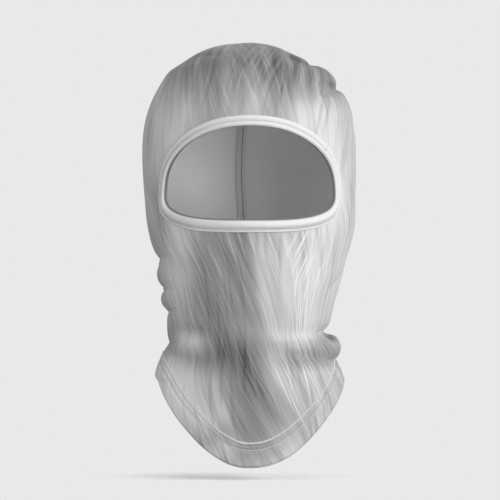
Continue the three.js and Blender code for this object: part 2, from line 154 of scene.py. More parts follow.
def window(s, rise, fall):
    """1 along a line, easing to 0 over a share of its length at each end."""
    up, down = np.clip(s / rise, 0, 1), np.clip((1 - s) / fall, 0, 1)
    return up * up * (3 - 2 * up) * down * down * (3 - 2 * down)


def fold_height(angle, lay):
    """How far the folds lift the cloth off the head's form, in mm."""
    degrees = np.degrees(-angle) % 360
    # the cloth is slightly uneven everywhere
    lift = 0.35 * np.sin(3 * angle + lay / 19) * np.sin(lay / 31 + 1.3)
    lift = lift + 0.3 * np.sin(7 * angle - lay / 13 + 0.7) * np.cos(lay / 23)
    for kind, ease, folds in (("crease", 0.16, CREASES), ("roll", 0.25, ROLLS), ("pillow", 0.18, PILLOWS)):
        for start, from_lay, end, to_lay, height, spread in folds:
            s = (degrees - start) / (end - start)
            off = lay - (from_lay + (to_lay - from_lay) * s)
            if kind == "crease":
                shape = -np.exp(-np.sqrt(off**2 + 0.3) / spread)
            elif kind == "roll":
                shape = np.exp(-((off / spread) ** 2))
            else:
                shape = np.sqrt(np.clip(1 - (off / spread) ** 2, 0, 1))
            lift = lift + height * shape * window(s, ease, 0.3)
    from_seam = (math.pi - np.abs((angle + math.pi) % (2 * math.pi) - math.pi)) * SEAM_RIDGE_ROUND
    ridge = window((lay - SEAM_RIDGE_LAYS[0]) / (SEAM_RIDGE_LAYS[1] - SEAM_RIDGE_LAYS[0]), 0.3, 0.3)
    lift = lift + SEAM_RIDGE * np.exp(-np.sqrt(from_seam**2 + 2.0) / SEAM_RIDGE_SPREAD) * ridge
    pull = window((lay - JAW_LAYS[0]) / (JAW_LAYS[1] - JAW_LAYS[0]), 0.35, 0.35)
    for middle, spread, height in (JAW_RIDGE, JAW_HOLLOW):
        lift = lift + height * np.exp(-(((degrees - middle) / spread) ** 2)) * pull
    return lift


def surface_slopes(form, angle, lay):
    """Change of a surface for each radian round it and each mm up it."""
    da, dl = 0.004, 0.35
    low, high = np.minimum(lay - dl, CROWN_TOP - dl), np.minimum(lay + dl, CROWN_TOP)
    round_it = (form(angle + da, lay) - form(angle - da, lay)) / (2 * da)
    up_it = (form(angle, high) - form(angle, low)) / (high - low)[..., None]
    return round_it, up_it


def unit(vectors):
    return vectors / np.maximum(np.linalg.norm(vectors, axis=-1, keepdims=True), 1e-9)


def cloth_point(angle, lay):
    """Outer face of the folded cloth, in mm."""
    round_it, up_it = surface_slopes(head_form, angle, lay)
    out = unit(np.cross(round_it, up_it))
    return head_form(angle, lay) + out * fold_height(angle, lay)[..., None]


def cloth_normal(angle, lay):
    return unit(np.cross(*surface_slopes(cloth_point, angle, lay)))


def length_along(line):
    """Length along a line of points, at each of them."""
    return np.concatenate([[0], np.cumsum(np.linalg.norm(np.diff(line, axis=0), axis=1))])


def beside(angle, lay, distance, closed):
    """A line on the cloth, moved sideways over it: to the left of its own direction."""
    if closed:
        along = np.roll(head_form(angle, lay), -1, 0) - np.roll(head_form(angle, lay), 1, 0)
    else:
        along = np.gradient(head_form(angle, lay), axis=0)
    round_it, up_it = surface_slopes(head_form, angle, lay)
    across = unit(np.cross(unit(np.cross(round_it, up_it)), unit(along)))
    rr, ru, uu = (round_it**2).sum(-1), (round_it * up_it).sum(-1), (up_it**2).sum(-1)
    ar, au = (across * round_it).sum(-1), (across * up_it).sum(-1)
    area = rr * uu - ru**2
    return angle + distance * (ar * uu - au * ru) / area, lay + distance * (au * rr - ar * ru) / area


# the hem's line: a pointed bib in front, high over the shoulders, lower again behind
HEM_TIP = 3.2
HEM_SHOULDER_RIGHT = 73.5
HEM_SHOULDER_LEFT = 70.5
HEM_NAPE = 22.0
HEM_CURVE_RIGHT, HEM_CURVE_LEFT, HEM_CURVE_BACK = 2.12, 2.35, 2.3  # exponents
HEM_PROUD, HEM_BAND, HEM_BAND_SHARPNESS = 0.5, 19.6, 2.2  # height and width of the doubled cloth
HEM_GROOVES = ((12.8, 0.9, 1.0), (17.6, 0.6, 0.9))  # distance up, depth and spread
HEM_EASE = 1.3  # mm between rows of the mesh along the hem
HEM_ROWS = 17
BIB_ROWS = 22
NECK_LAY, NECK_EASE, NECK_TOP = 98.0, 1.45, 172.0
HEAD_ROWS = 96
CROWN_TIP = 1.6  # mm of cloth left for the fan of faces at the crown
COLUMNS = 216


def hem_lay(angle):
    """Where the hem's edge lies round the hood."""
    side, right = np.abs(np.sin(angle)), np.sin(angle) < 0
    shoulder = np.where(right, HEM_SHOULDER_RIGHT, HEM_SHOULDER_LEFT)
    front = HEM_TIP + (shoulder - HEM_TIP) * side ** np.where(right, HEM_CURVE_RIGHT, HEM_CURVE_LEFT)
    back = HEM_NAPE + (shoulder - HEM_NAPE) * side**HEM_CURVE_BACK
    return np.where(np.cos(angle) > 0, front, back)


def hem_relief(distance):
    """The turned-up hem stands a little proud, and its two rows of stitches draw it in."""
    band = HEM_PROUD / (1 + np.exp((distance - HEM_BAND) * HEM_BAND_SHARPNESS))
    grooves = (depth * np.exp(-(((distance - up) / spread) ** 2)) for up, depth, spread in HEM_GROOVES)
    return band - sum(grooves)


angles = np.linspace(-math.pi, math.pi, COLUMNS, endpoint=False)
grid_angle, grid_lay, grid_relief = [angles], [hem_lay(angles)], [hem_relief(np.zeros(COLUMNS))]
for row in range(1, HEM_ROWS + 1):
    moved = beside(grid_angle[-1], grid_lay[-1], HEM_EASE, True)
    grid_angle.append(moved[0])
    grid_lay.append(moved[1])
    grid_relief.append(hem_relief(np.full(COLUMNS, row * HEM_EASE)))
for row in range(1, BIB_ROWS + 1):
    share = row / BIB_ROWS
    grid_angle.append(grid_angle[HEM_ROWS] * (1 - share) + angles * share)
    grid_lay.append(grid_lay[HEM_ROWS] * (1 - share) + NECK_LAY * share)
    grid_relief.append(np.zeros(COLUMNS))
neck_lays = np.arange(NECK_LAY + NECK_EASE, NECK_TOP, NECK_EASE)
head_lays = np.linspace(neck_lays[-1], CROWN_TOP - CROWN_TIP, HEAD_ROWS)[1:]
for lay in (*neck_lays, *head_lays):
    grid_angle.append(angles)
    grid_lay.append(np.full(COLUMNS, lay))
    grid_relief.append(np.zeros(COLUMNS))
grid_angle, grid_lay, grid_relief = np.array(grid_angle), np.array(grid_lay), np.array(grid_relief)
ROWS = len(grid_angle)

# the eye opening, cut as a wide D on its back; the cloth's edge is hidden in the binding
EYE_CENTRE = (0.7, 221.5)  # mm across and up
EYE_HALF_WIDTH = 67.5
EYE_RISE, EYE_UPPER_ROUNDNESS = 52.5, 2.15
EYE_DROP, EYE_LOWER_ROUNDNESS = 24.5, 3.3
CLOTH_EDGE = 3.0  # from the binding's inner edge out to the cloth's cut edge


def eye_size(x, height, grow):
    """Above 1 outside the eye opening grown by some mm, with the exponent it was made with."""
    upper = height >= EYE_CENTRE[1]
    power = np.where(upper, EYE_UPPER_ROUNDNESS, EYE_LOWER_ROUNDNESS)
    reach_up = np.where(upper, EYE_RISE, EYE_DROP) + grow
    across = np.abs(x - EYE_CENTRE[0]) / (EYE_HALF_WIDTH + grow)
    return across**power + (np.abs(height - EYE_CENTRE[1]) / reach_up) ** power, power


def on_face(x, height):
    """Angle and lay of the point of the face at a place across and up."""
    climb = np.clip((height - BROW_HEIGHT) / CROWN_RISE, 0, 1)
    climb_angle = np.arcsin(climb ** (CROWN_ROUNDNESS / 2))
    lay = np.minimum(height, BROW_HEIGHT) + CROWN_ARC * climb_angle
    edge = head_form(np.sign(x) * math.pi / 2, lay)[..., 0]
    return np.arcsin(np.clip(np.abs(x / edge), 0, 1)) * np.sign(x), lay


form = head_form(grid_angle, grid_lay)
size, power = eye_size(form[..., 0], form[..., 2], CLOTH_EDGE)
pair = size + np.roll(size, -1, 1)
face_side = form[..., 1] < 0
# a cell is open where the mean of its four corners is inside the opening
open_cell = (pair[:-1] + pair[1:] < 4.0) & face_side[:-1] & face_side[1:]
open_corner = np.zeros((ROWS, COLUMNS), bool)
kept_corner = np.zeros((ROWS, COLUMNS), bool)
for cells, corners in ((open_cell, open_corner), (~open_cell, kept_corner)):
    wide = cells | np.roll(cells, 1, 1)
    corners[:-1] |= wide
    corners[1:] |= wide
rim = open_corner & kept_corner
shift = size[rim] ** (-1 / power[rim])
rim_x = EYE_CENTRE[0] + (form[..., 0][rim] - EYE_CENTRE[0]) * shift
rim_height = EYE_CENTRE[1] + (form[..., 2][rim] - EYE_CENTRE[1]) * shift
grid_angle[rim], grid_lay[rim] = on_face(rim_x, rim_height)

outer = cloth_point(grid_angle, grid_lay) + cloth_normal(grid_angle, grid_lay) * grid_relief[..., None]
crown_point = outer[-1].mean(0) + np.array([0, 0, 0.05])
points = np.vstack([outer.reshape(-1, 3), crown_point])
faces, face_angles, face_lays = [], [], []
full_turn = np.concatenate([grid_angle, grid_angle[:, :1] + 2 * math.pi], 1)
full_lay = np.concatenate([grid_lay, grid_lay[:, :1]], 1)
for row, column in np.argwhere(~open_cell):
    corners = ((row, column), (row, column + 1), (row + 1, column + 1), (row + 1, column))
    faces.append([r * COLUMNS + c % COLUMNS for r, c in corners])
    face_angles.extend(full_turn[corner] for corner in corners)
    face_lays.extend(full_lay[corner] for corner in corners)
for column in range(COLUMNS):
    top = (ROWS - 1) * COLUMNS
    faces.append([top + column, top + (column + 1) % COLUMNS, ROWS * COLUMNS])
    face_angles.extend((full_turn[-1, column], full_turn[-1, column + 1], full_turn[-1, column]))
    face_lays.extend((full_lay[-1, column], full_lay[-1, column + 1], CROWN_TOP))
# the points inside the opening are left out
used = np.unique(np.concatenate(faces))
number = np.zeros(len(points), int)
number[used] = np.arange(len(used))
points, faces = points[used], [number[face] for face in faces]

CLOTH_ROUND = 0.085  # metres of cloth for each radian round the head


def new_piece(name, points_mm, faces, materials, uvs=None):
    """A mesh object at the origin from points in mm above the hem's tip."""
    mesh = bpy.data.meshes.new(name)
    metres = (np.asarray(points_mm, float) - (0, 0, CROWN_ABOVE_TIP)) * MM
    mesh.from_pydata(metres.tolist(), [], [tuple(int(i) for i in face) for face in faces])
    for material in materials:
        mesh.materials.append(material)
    if uvs is not None:
        layer = mesh.uv_layers.new(name="UVMap")
        layer.data.foreach_set("uv", np.asarray(uvs, np.float32).ravel())
    mesh.polygons.foreach_set("use_smooth", np.ones(len(mesh.polygons), bool))
    piece = bpy.data.objects.new(name, mesh)
    bpy.context.scene.collection.objects.link(piece)
    return piece


def new_group(name, inputs, outputs, tree_kind="ShaderNodeTree"):
    """An empty node group with named sockets, what it is given and what it gives."""
    group = bpy.data.node_groups.new(name, tree_kind)
    for socket, kind, value in inputs:
        made = group.interface.new_socket(name=socket, in_out="INPUT", socket_type="NodeSocket" + kind)
        if value is not None:
            made.default_value = value
    for socket, kind in outputs:
        group.interface.new_socket(name=socket, in_out="OUTPUT", socket_type="NodeSocket" + kind)
    return group, group.nodes.new("NodeGroupInput").outputs, group.nodes.new("NodeGroupOutput").inputs


def add_node(tree, kind, links=(), **settings):
    """A node with its settings and inputs: each link is (input, socket or value)."""
    node = tree.nodes.new(kind)
    for key, value in settings.items():
        setattr(node, key, value)
    for socket, value in links:
        if isinstance(value, bpy.types.NodeSocket):
            tree.links.new(value, node.inputs[socket])
        else:
            node.inputs[socket].default_value = value
    return node


def tree_of(*values):
    """The node tree of the first socket among some values."""
    return next(value.id_data for value in values if isinstance(value, bpy.types.NodeSocket))


def math_node(operation, a, b=0.0):
    return add_node(tree_of(a, b), "ShaderNodeMath", [(0, a), (1, b)], operation=operation).outputs[0]


def plus(a, b):
    return math_node("ADD", a, b)


def minus(a, b):
    return math_node("SUBTRACT", a, b)


def times(a, b):
    return math_node("MULTIPLY", a, b)


def ramp(value, low, high):
    """0 below low, 1 above high, eased between."""
    links = [("Value", value), ("From Min", low), ("From Max", high)]
    return add_node(tree_of(value), "ShaderNodeMapRange", links, interpolation_type="SMOOTHSTEP").outputs[0]


def vector_node(operation, a, b):
    return add_node(tree_of(a, b), "ShaderNodeVectorMath", [(0, a), (1, b)], operation=operation).outputs[0]


def distance_across(vector):
    """Length of a vector's first two parts."""
    links = [(0, vector_node("MULTIPLY", vector, (1, 1, 0)))]
    return add_node(tree_of(vector), "ShaderNodeVectorMath", links, operation="LENGTH").outputs["Value"]


def parts_of(vector):
    return add_node(tree_of(vector), "ShaderNodeSeparateXYZ", [(0, vector)]).outputs


def vector_of(x=0.0, y=0.0, z=0.0):
    return add_node(tree_of(x, y, z), "ShaderNodeCombineXYZ", [(0, x), (1, y), (2, z)]).outputs[0]


def noise(vector, scale, detail):
    """Flat noise, as a node."""
    links = [("Vector", vector), ("Scale", scale), ("Detail", detail)]
    return add_node(tree_of(vector), "ShaderNodeTexNoise", links, noise_dimensions="2D")


# long tapered strands that lie along the cloth, each with its own tone
strands, given, result = new_group(
    "printed strands",
    [
        ("Lay", "Vector", None),
        ("Slant", "Float", 0.0),
        ("Width", "Float", 0.003),
        ("Length", "Float", 0.1),
        ("Share", "Float", 0.6),
        ("Place", "Float", 0.0),
    ],
    [("Mask", "Float"), ("Tone", "Float")],
)
links = [("Vector", given["Lay"]), ("Angle", given["Slant"])]
turned = add_node(strands, "ShaderNodeVectorRotate", links, rotation_type="Z_AXIS")
split = parts_of(turned.outputs[0])
cell_x = math_node("DIVIDE", split[0], given["Width"])
cell_y = math_node("DIVIDE", split[1], given["Length"])
cell = vector_of(plus(cell_x, given["Place"]), plus(cell_y, times(given["Place"], 1.7)))
links = [("Vector", cell), ("Scale", 1.0)]
cells = add_node(strands, "ShaderNodeTexVoronoi", links, voronoi_dimensions="2D")
tones = add_node(strands, "ShaderNodeSeparateColor", [(0, cells.outputs["Color"])])
SPINDLE_CORE, SPINDLE_EDGE = 0.12, 0.5  # shares of a cell
spindle = minus(1.0, ramp(cells.outputs["Distance"], SPINDLE_CORE, SPINDLE_EDGE))
chosen = math_node("LESS_THAN", tones.outputs[0], given["Share"])
strands.links.new(times(spindle, chosen), result["Mask"])
strands.links.new(tones.outputs[1], result["Tone"])

# the columns and courses of jersey, as a height
jersey, given, result = new_group(
    "jersey stitches",
    [("Lay", "Vector", None), ("Wale", "Float", 0.0007), ("Course", "Float", 0.0006)],
    [("Height", "Float")],
)
split = parts_of(given["Lay"])
wale = math_node("DIVIDE", split[0], given["Wale"])
course = math_node("DIVIDE", split[1], given["Course"])
half = math_node("ABSOLUTE", minus(math_node("FRACT", wale), 0.5))
arm = math_node("SINE", times(plus(course, half), 2 * math.pi))
valley = math_node("SINE", times(half, 2 * math.pi))
stitch = times(math_node("MULTIPLY_ADD", arm, 0.4), valley)
jersey.links.new(stitch, result["Height"])

# the print: drawn-out clouds, soft light and dark fields that are partly the print's own and partly painted
# light and shade, and many sets of strands over them
WAVER_SCALE, WAVER_DETAIL, WAVER_REACH = 7.0, 1.0, 0.024
SWEEP_BELOW, SWEEP = 0.235, 0.40  # metres up, and metres across for each metre below that
print_and_shade_group, given, result = new_group(
    "strand print and painted shade",
    [("Lay", "Vector", None), ("Place", "Vector", None)],
    [("Color", "Color")],
)
waver = noise(given["Lay"], WAVER_SCALE, WAVER_DETAIL).outputs["Color"]
bent = vector_node("SUBTRACT", waver, (0.5, 0.5, 0.5))
links = [(0, bent), ("Scale", WAVER_REACH)]
bent = add_node(print_and_shade_group, "ShaderNodeVectorMath", links, operation="SCALE").outputs[0]
split = parts_of(vector_node("ADD", given["Lay"], bent))
below = math_node("MAXIMUM", minus(SWEEP_BELOW, split[1]), 0.0)
swept = minus(split[0], times(below, SWEEP))
lay_bent = vector_of(swept, split[1])

# soft light and dark fields on the front, partly the print's light and dark zones and partly painted light
# and shade, with painted shade in the crown's creases and notches and under the neck rolls: across and up in
# mm, half sizes, lean, and how much
PRINT_AND_SHADE_FIELDS = (
    (8, 322, 76, 26, 0.1, -0.39),
    (-6, 290, 40, 22, 0.2, -0.08),
    (30, 306, 30, 16, -0.4, -0.18),
    (43, 325.5, 13, 4.2, -0.25, -0.29),
    (70, 303, 7.5, 3.6, -0.5, -0.29),
    (0, 180, 18, 40, 0.35, -0.26),
    (-16, 135, 30, 36, 0.5, -0.22),
    (-18, 92, 54, 16, -0.15, -0.32),
    (52, 88, 24, 8, 0.05, -0.36),
    (65, 105, 6.5, 3, -0.6, -0.52),
    (10, 66, 20, 30, 0.5, -0.43),
    (-2, 24, 36, 20, 0.3, -0.27),
    (46, 150, 36, 56, 0, 0.22),
    (68, 250, 30, 60, 0, 0.13),
    (-56, 56, 26, 36, 0.6, 0.42),
    (-75, 250, 30, 70, 0, 0.16),
    (-26, 326, 26, 12, 0.2, -0.13),
    (14, 306, 10, 18, -0.3, 0.25),
    (62, 308, 16, 20, 0.3, -0.22),
    (-56, 160, 12, 36, 0.1, 0.37),
    (-26, 185, 18, 30, 0.1, -0.19),
    (8, 165, 9, 44, 0.15, 0.28),
    (-44, 100, 16, 9, -0.25, 0.45),
    (17, 82, 10, 18, 0.3, 0.24),
    (28, 60, 10, 22, 0.45, 0.19),
    (58, 99, 16, 8, 0, -0.25),
    (-4, 56, 12, 24, 0.3, -0.16),
    (-24, 14, 20, 10, 0.5, 0.25),
    (34, 150, 18, 40, 0.1, -0.05),
    (-50, 290, 30, 30, 0.5, 0.08),
    (10, 345, 30, 10, 0, -0.21),
    (-58, 245, 10, 30, 0.1, 0.15),
    (42, 54, 18, 22, 0.1, -0.13),
    (-39, 54, 16, 20, 0.2, -0.12),
)
# how often clouds come across, along and deep, their detail, and how much
CLOUDS = (((26.0, 8.0, 1.0), 3.0, 0.34), ((420.0, 14.0, 1.0), 2.0, 0.10))
SETS = (
    # slant, width and length in mm, share, place, how much it covers, and where: across, up, half sizes
    (0.04, 14, 130, 0.5, 3.1, 0.16, None),
    (-0.1, 7.5, 105, 0.5, 11.7, 0.13, None),
    (0.14, 4, 85, 0.45, 23.9, 0.1, None),
    (-0.2, 2.6, 70, 0.4, 53.3, 0.14, None),
    (0.3, 5, 90, 0.4, 29.9, -0.09, None),
    (-0.06, 4.4, 70, 0.4, 67.1, -0.08, None),
    (0.02, 2.8, 75, 0.5, 37.3, 0.34, (-44, 165, 26, 60)),
    (0.16, 3.4, 70, 0.45, 61.3, 0.3, (-50, 170, 24, 50)),
    (-0.26, 3, 75, 0.45, 97.9, 0.3, (-30, 120, 30, 34)),
    (0.1, 2.8, 80, 0.45, 43.1, 0.34, (-8, 180, 26, 42)),
    (-0.02, 3.2, 75, 0.5, 71.9, 0.5, (36, 130, 26, 60)),
    (0.26, 2.6, 60, 0.45, 79.7, 0.46, (50, 150, 22, 60)),
    (0.66, 3.2, 50, 0.42, 83.3, 0.8, (47, 168, 16, 28)),
    (-0.08, 3, 70, 0.5, 91.7, 0.5, (40, 62, 22, 32)),
    (0.22, 2.6, 60, 0.45, 103.3, 0.5, (46, 74, 16, 30)),
    (0.2, 2.6, 60, 0.4, 109.9, 0.2, (-24, 316, 50, 30)),
    (-0.18, 2.4, 60, 0.4, 127.3, 0.22, (30, 310, 40, 34)),
)


PLACE_REACH = 1.6


def near_place(place, across, up, half_width, half_height, lean=0.0):
    """1 at a place seen from the front, easing to 0 at PLACE_REACH times its half sizes."""
    links = [
        ("Vector", place),
        ("Location", (across * MM, up * MM, 0)),
        ("Rotation", (0, 0, lean)),
        ("Scale", (half_width * MM, half_height * MM, 1)),
    ]
    placed = add_node(tree_of(place), "ShaderNodeMapping", links, vector_type="TEXTURE")
    return minus(1.0, ramp(distance_across(placed.outputs[0]), 0.0, PLACE_REACH))


BASE_TONE = 0.56
STRAND_WHITE, STRAND_SPREAD = 0.78, 0.30
tone = BASE_TONE
for stretch, detail, amount in CLOUDS:
    cloud = noise(vector_node("MULTIPLY", lay_bent, stretch), 1.0, detail).outputs[0]
    tone = plus(tone, times(minus(cloud, 0.5), amount))
depth = parts_of(given["Place"])[2]
FRONT_FADE = 0.03  # metres before and behind the middle
front_only = minus(1.0, ramp(depth, -FRONT_FADE, FRONT_FADE))
# the fields add their print tone and their painted light and shade to the cloth's tone
for *field, amount in PRINT_AND_SHADE_FIELDS:
    soft = times(near_place(given["Place"], *field), front_only)
    tone = plus(tone, times(soft, amount))
for slant, width, length, share, place, cover, where in SETS:
    drawn = add_node(print_and_shade_group, "ShaderNodeGroup", node_tree=strands)
    print_and_shade_group.links.new(lay_bent, drawn.inputs["Lay"])
    sizes = slant, width * MM, length * MM, share, place
    for key, value in zip(("Slant", "Width", "Length", "Share", "Place"), sizes):
        drawn.inputs[key].default_value = value
    mask = times(drawn.outputs["Mask"], abs(cover))
    if where is not None:
        mask = times(mask, near_place(given["Place"], *where))
    if cover > 0:
        white = plus(times(drawn.outputs["Tone"], STRAND_SPREAD), STRAND_WHITE)
        lighter = math_node("MAXIMUM", minus(white, tone), 0.0)
        tone = plus(tone, times(lighter, mask))
    else:
        tone = minus(tone, mask)
PRINT_DARK = (0.07, 0.07, 0.075, 1)
PRINT_MIDDLE = (0.36, 0.36, 0.365, 1)
PRINT_LIGHT = (0.92, 0.925, 0.935, 1)
shade = add_node(print_and_shade_group, "ShaderNodeValToRGB", [(0, tone)])
shade.color_ramp.elements[0].position, shade.color_ramp.elements[0].color = 0.0, PRINT_DARK
shade.color_ramp.elements[1].position, shade.color_ramp.elements[1].color = 1.0, PRINT_LIGHT
middle = shade.color_ramp.elements.new(0.5)
middle.color = PRINT_MIDDLE
print_and_shade_group.links.new(shade.outputs[0], result["Color"])


def new_material(name, roughness, sheen):
    """A principled material of a soft, dull stuff, with its tree and shader."""
    material = bpy.data.materials.new(name)
    material.use_nodes = True
    shader = material.node_tree.nodes["Principled BSDF"]
    shader.inputs["Roughness"].default_value = roughness
    shader.inputs["Specular IOR Level"].default_value = 0.3
    shader.inputs["Sheen Weight"].default_value = sheen
    shader.inputs["Sheen Roughness"].default_value = 0.5
    return material, material.node_tree, shader


def bumped(tree, shader, height, strength):
    """A height of a tenth of a millimetre as bump on a material's shader."""
    links = [("Height", height), ("Strength", strength), ("Distance", 0.0001)]
    tree.links.new(add_node(tree, "ShaderNodeBump", links).outputs[0], shader.inputs["Normal"])


def tinted(factor, low, high):
    """A colour between two, by a factor."""
    links = [(0, factor), ("A", low), ("B", high)]
    return add_node(tree_of(factor), "ShaderNodeMix", links, data_type="RGBA").outputs["Result"]


def cloth_uv(tree):
    return add_node(tree, "ShaderNodeUVMap", uv_map="UVMap").outputs[0]


def knit_bump(tree, shader, lay, strength, wale=0.0007, course=0.0006):
    """The jersey's stitches as bump on a material's shader."""
    knit = add_node(tree, "ShaderNodeGroup", node_tree=jersey)
    tree.links.new(lay, knit.inputs["Lay"])
    knit.inputs["Wale"].default_value, knit.inputs["Course"].default_value = wale, course
    bumped(tree, shader, knit.outputs["Height"], strength)


# the print's colour here also holds the painted light and shade of its fields
printed_and_shaded_knit, tree, shader = new_material("printed stretch knit with painted shade", 0.78, 0.15)
lay_uv = cloth_uv(tree)
split = parts_of(add_node(tree, "ShaderNodeTexCoord").outputs["Object"])
place = vector_of(split[0], plus(split[2], CROWN_ABOVE_TIP * MM), split[1])
drawn = add_node(tree, "ShaderNodeGroup", node_tree=print_and_shade_group)
tree.links.new(lay_uv, drawn.inputs["Lay"])
tree.links.new(place, drawn.inputs["Place"])
tree.links.new(drawn.outputs["Color"], shader.inputs["Base Color"])
knit_bump(tree, shader, lay_uv, 0.35)

plain_knit, tree, shader = new_material("unprinted knit back", 0.85, 0.1)
lay_uv = cloth_uv(tree)
haze = noise(lay_uv, 60.0, 4.0).outputs[0]
tint = tinted(haze, (0.80, 0.80, 0.805, 1), (0.86, 0.86, 0.865, 1))
tree.links.new(tint, shader.inputs["Base Color"])
knit_bump(tree, shader, lay_uv, 0.4, 0.0006, 0.0008)

# over the crown the print runs on in parallel and meets itself at the seam behind
face_lays = np.array(face_lays)
narrowing = np.cos(np.clip((face_lays - BROW_HEIGHT) / CROWN_ARC, 0, math.pi / 2)) ** (2 / CROWN_ROUNDNESS)
uvs = np.stack([np.array(face_angles) * CLOTH_ROUND * narrowing, face_lays * MM], 1)
hood = new_piece("hood_cloth", points, faces, (printed_and_shaded_knit, plain_knit), uvs)
wall = hood.modifiers.new("cloth thickness", "SOLIDIFY")
wall.thickness = CLOTH_THICKNESS * MM
wall.offset = -1.0
wall.material_offset = 1
wall.material_offset_rim = 0


def settle(piece):
    """Applies a piece's modifiers and leaves a plain mesh."""
    graph = bpy.context.evaluated_depsgraph_get()
    evaluated = piece.evaluated_get(graph)
    mesh = bpy.data.meshes.new_from_object(evaluated, preserve_all_data_layers=True, depsgraph=graph)
    piece.modifiers.clear()
    piece.data = mesh
    mesh.name = piece.name
    return piece


settle(hood)
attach(hood, "root")
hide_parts("hood_shell")

# ------------------------------------------------------------------ hem fold
# The bottom of the hood's own cloth, turned up 17 mm to the inside and held by the hem's cover
# stitch, so the print shows inside it and its lower edge is a round fold.
HEM_STEPS = 260
HEM_FOLD_SECTION = (
    # across from the edge, out from the cloth's outer face
    (-0.02, 0.42), (-0.45, 0.25), (-0.8, -0.3), (-0.9, -1.0), (-0.65, -1.6), (0.0, -1.95), (4.0, -2.0),
    (9.0, -1.98), (12.8, -1.9), (15.0, -2.0), (17.0, -1.96), (17.1, -1.5), (16.9, -1.05), (12.8, -1.02),
    (9.0, -1.05), (4.0, -1.05), (0.1, -1.05),
)


def follow(angle, lay, section, closed):
    """Rings of a section along a line on the cloth. The section may change along the line."""
    section = np.asarray(section, float)
    if section.ndim == 2:
        section = np.broadcast_to(section, (len(angle), *section.shape))
    rings = np.zeros((len(angle), section.shape[1], 3))
    for k in range(section.shape[1]):
        a, l = beside(angle, lay, section[:, k, 0], closed)
        rings[:, k] = cloth_point(a, l) + cloth_normal(a, l) * section[:, k, 1:]
    return rings


def loft(name, rings, closed, material):
    """A closed skin over rings of points, with the length along it and round it as its UV."""
    count, size = rings.shape[:2]
    points = rings.reshape(-1, 3)
    lengths = length_along(rings[:, 0])
    lengths = np.append(lengths, lengths[-1] + np.linalg.norm(rings[0, 0] - rings[-1, 0]))
    girth = length_along(rings[0])
    girth = np.append(girth, girth[-1] + np.linalg.norm(rings[0, 0] - rings[0, -1]))
    faces, uvs = [], []
    for i in range(count if closed else count - 1):
        for k in range(size):
            j, m = (i + 1) % count, (k + 1) % size
            faces.append((i * size + k, j * size + k, j * size + m, i * size + m))
            uvs.extend((lengths[a], girth[b]) for a, b in ((i, k), (i + 1, k), (i + 1, k + 1), (i, k + 1)))
    if not closed:
        faces.append(tuple(range(size)))
        faces.append(tuple((count - 1) * size + k for k in reversed(range(size))))
        uvs.extend((0.0, girth[k]) for k in range(size))
        uvs.extend((lengths[count - 1], girth[k]) for k in reversed(range(size)))
    piece = new_piece(name, points, faces, (material,), np.array(uvs) * MM)
    shell = bmesh.new()
    shell.from_mesh(piece.data)
    bmesh.ops.recalc_face_normals(shell, faces=shell.faces)
    shell.to_mesh(piece.data)
    shell.free()
    return piece


def even_line(angle, lay, count, closed=True):
    """The same line on the cloth with its points at even distances."""
    if closed:
        whole_turns = round((angle[-1] - angle[0]) / (2 * math.pi))
        angle, lay = np.append(angle, angle[0] + 2 * math.pi * whole_turns), np.append(lay, lay[0])
    length = length_along(head_form(angle, lay))
    wanted = np.linspace(0, length[-1], count + 1)[:-1] if closed else np.linspace(0, length[-1], count)
    return np.interp(wanted, length, angle), np.interp(wanted, length, lay)


fine = np.linspace(-math.pi, math.pi, 1440, endpoint=False)
hem_angle, hem_line = even_line(fine, hem_lay(fine), HEM_STEPS)
hem_fold = loft("hem_fold", follow(hem_angle, hem_line, HEM_FOLD_SECTION, True), True, printed_and_shaded_knit)
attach(hem_fold, "root")
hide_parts("hem_turn_up")

# ------------------------------------------------------------------ eye binding
# A white stretch tape folded over the opening's cut edge and sewn down in one row. Above the
# eyes it lies flat with a rolled lip, below them it puffs out into a roll with a thin border.
BINDING_STEPS = 300
TAPE_ABOVE = (
    (7.9, 0.02), (7.95, 0.55), (7.6, 0.95), (6.8, 1.15), (5.6, 1.2), (4.7, 1.0), (4.0, 0.35),
    (3.55, 0.1), (3.1, 0.4), (2.5, 1.35), (1.4, 1.7), (0.4, 1.55), (-0.3, 1.0), (-0.6, 0.2),
)
TAPE_BELOW = (
    (8.6, 0.02), (8.65, 0.55), (8.3, 0.9), (7.7, 0.9), (7.2, 0.6), (6.8, 0.1), (6.3, 0.1), (5.9, 0.8),
    (5.3, 1.8), (4.1, 2.5), (2.6, 2.75), (1.1, 2.45), (0.1, 1.6), (-0.4, 0.5),
)
TAPE_INSIDE = (
    (-0.7, -0.6), (-0.6, -1.5), (0.1, -2.2), (1.6, -2.4), (3.6, -1.9), (5.6, -2.2), (7.2, -2.1),
    (7.5, -1.5), (7.2, -0.98), (3.0, -0.96), (2.2, -0.9), (2.0, -0.45), (2.2, 0.0), (3.0, 0.02),
)


def eye_line(turn):
    """The binding's inner edge at turns round the opening, from the right ear over the brow."""
    c, s = np.cos(turn), np.sin(turn)
    power = np.where(s >= 0, EYE_UPPER_ROUNDNESS, EYE_LOWER_ROUNDNESS)
    x = EYE_CENTRE[0] + EYE_HALF_WIDTH * np.sign(c) * np.abs(c) ** (2 / power)
    height = EYE_CENTRE[1] + np.sign(s) * np.abs(s) ** (2 / power) * np.where(s >= 0, EYE_RISE, EYE_DROP)
    return on_face(x, height)


FINE_TURNS = 2880
fine_eye = eye_line(math.pi - np.linspace(0, 2 * math.pi, FINE_TURNS, endpoint=False))
fine_angle, fine_lay = (np.append(line, line[0]) for line in fine_eye)
binding_steps = length_along(head_form(fine_angle, fine_lay))
BINDING_LENGTH = binding_steps[-1]


